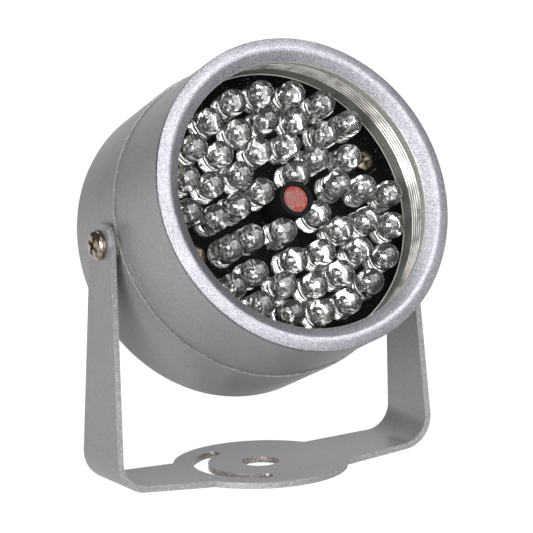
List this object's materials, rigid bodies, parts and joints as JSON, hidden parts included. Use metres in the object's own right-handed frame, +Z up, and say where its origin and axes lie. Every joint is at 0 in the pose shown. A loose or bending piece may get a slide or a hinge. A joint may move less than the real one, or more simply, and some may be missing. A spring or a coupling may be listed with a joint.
{
  "type": "infrared illuminator",
  "caption": "Round infrared lamp: rings of clear emitters round a light sensor in a metal housing that tilts between the arms of a folded bracket with a slotted round base.",
  "frame": {"origin": "middle of the base hole, on the underside of the bracket's base", "axes": "+Z up along the base hole's axis, -Y the way the lamp looks, +X across from arm to arm along the tilt axis, so that the arc slot of the base lies on the -X side"},
  "size_m": [0.0686, 0.0583, 0.0835],
  "materials": {
    "bracket_paint": "steel sheet, satin silver-grey paint with rough cut edges",
    "housing_paint": "cast aluminium, satin silver-grey paint with a fine grain",
    "ring_paint": "turned aluminium, coarse sparkling silver paint",
    "nickel_plate": "nickel-plated steel",
    "clear_nylon": "natural nylon",
    "black_rubber": "moulded black rubber",
    "board_black": "glass fibre board with black solder resist",
    "shroud_black": "black sleeve, dull",
    "photocell_red": "ceramic disc with a red coat and a pale winding track under clear lacquer",
    "board_screw_steel": "dull plated steel",
    "resistor_coat": "lacquered ceramic",
    "moulded_black": "moulded epoxy",
    "connector_white": "moulded nylon",
    "emitter_lens": "water-clear epoxy"
  },
  "bodies": {
    "bracket": {"bracket": "bracket_paint"},
    "head": {"rear_cup": "housing_paint", "seam_seal": "black_rubber", "front_barrel": "housing_paint", "front_ring": "ring_paint", "side_screws": "nickel_plate", "side_washers": "clear_nylon", "emitter_board": "board_black", "photocell_shroud": "shroud_black", "photocell": "photocell_red", "board_screws": "board_screw_steel", "string_resistors": "resistor_coat", "switch_transistor": "moulded_black", "polarity_diode": "moulded_black", "supply_connector": "connector_white", "cable_grommet": "black_rubber", "emitters_inner": "emitter_lens", "emitters_second": "emitter_lens", "emitters_third": "emitter_lens", "emitters_outer": "emitter_lens"}
  },
  "joints": [
    {"name": "head_tilt", "type": "hinge", "parent": "bracket", "child": "head", "pos_m": [0, 0, 0.0472], "axis": [-1, 0, 0], "range_deg": [-114.1, 65.9]}
  ]
}
